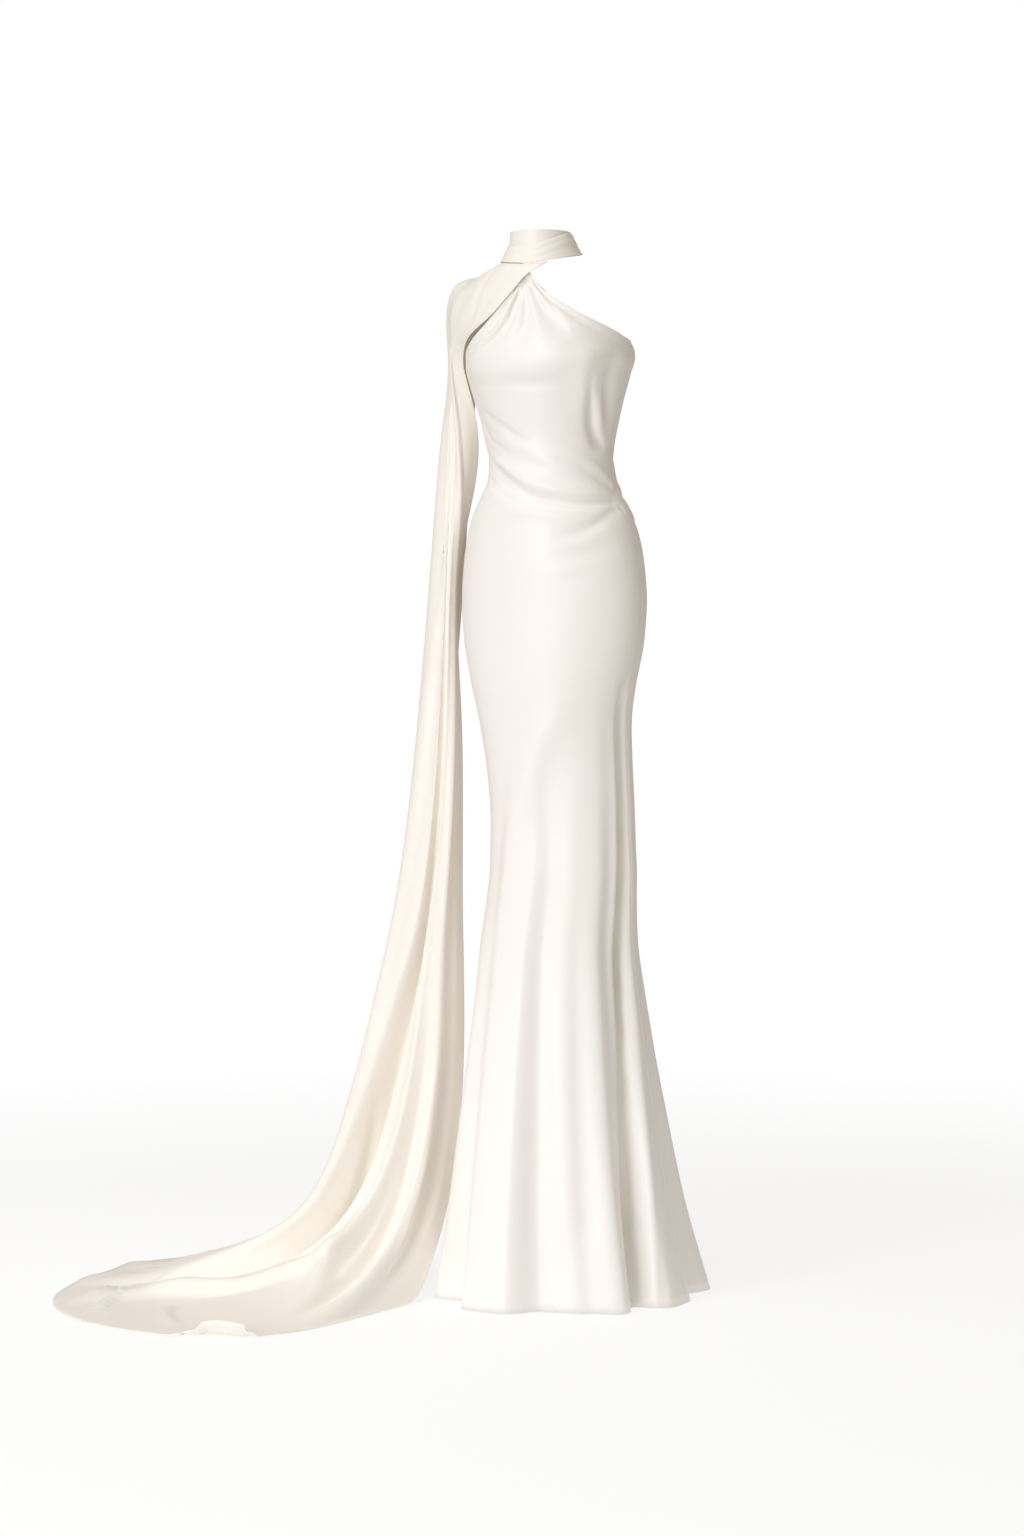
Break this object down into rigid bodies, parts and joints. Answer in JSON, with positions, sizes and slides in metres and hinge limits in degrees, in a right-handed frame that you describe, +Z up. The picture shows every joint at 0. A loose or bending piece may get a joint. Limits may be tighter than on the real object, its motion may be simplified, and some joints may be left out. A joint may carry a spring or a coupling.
{
  "type": "one-shoulder gown",
  "caption": "Floor-length one-shoulder evening gown in ivory satin, filled out as worn, with a high wrapped collar and a shoulder cape that runs into a train.",
  "frame": {"origin": "in the middle of the neck opening, 1.600 m above the floor that the hem and train reach, where the wearer's neck and shoulder hold the gown", "axes": "+Z up, -Y the gown's front, +X the wearer's left; the covered shoulder and the train are on -X"},
  "size_m": [0.9424, 0.8029, 1.6363],
  "materials": {
    "ivory_satin": "satin",
    "warm_satin": "satin"
  },
  "bodies": {
    "root": {"front_panel": "ivory_satin", "back_right": "ivory_satin", "back_left": "ivory_satin", "neck_stand": "warm_satin", "neck_wrap": "warm_satin", "cape_train": "warm_satin"}
  },
  "joints": []
}
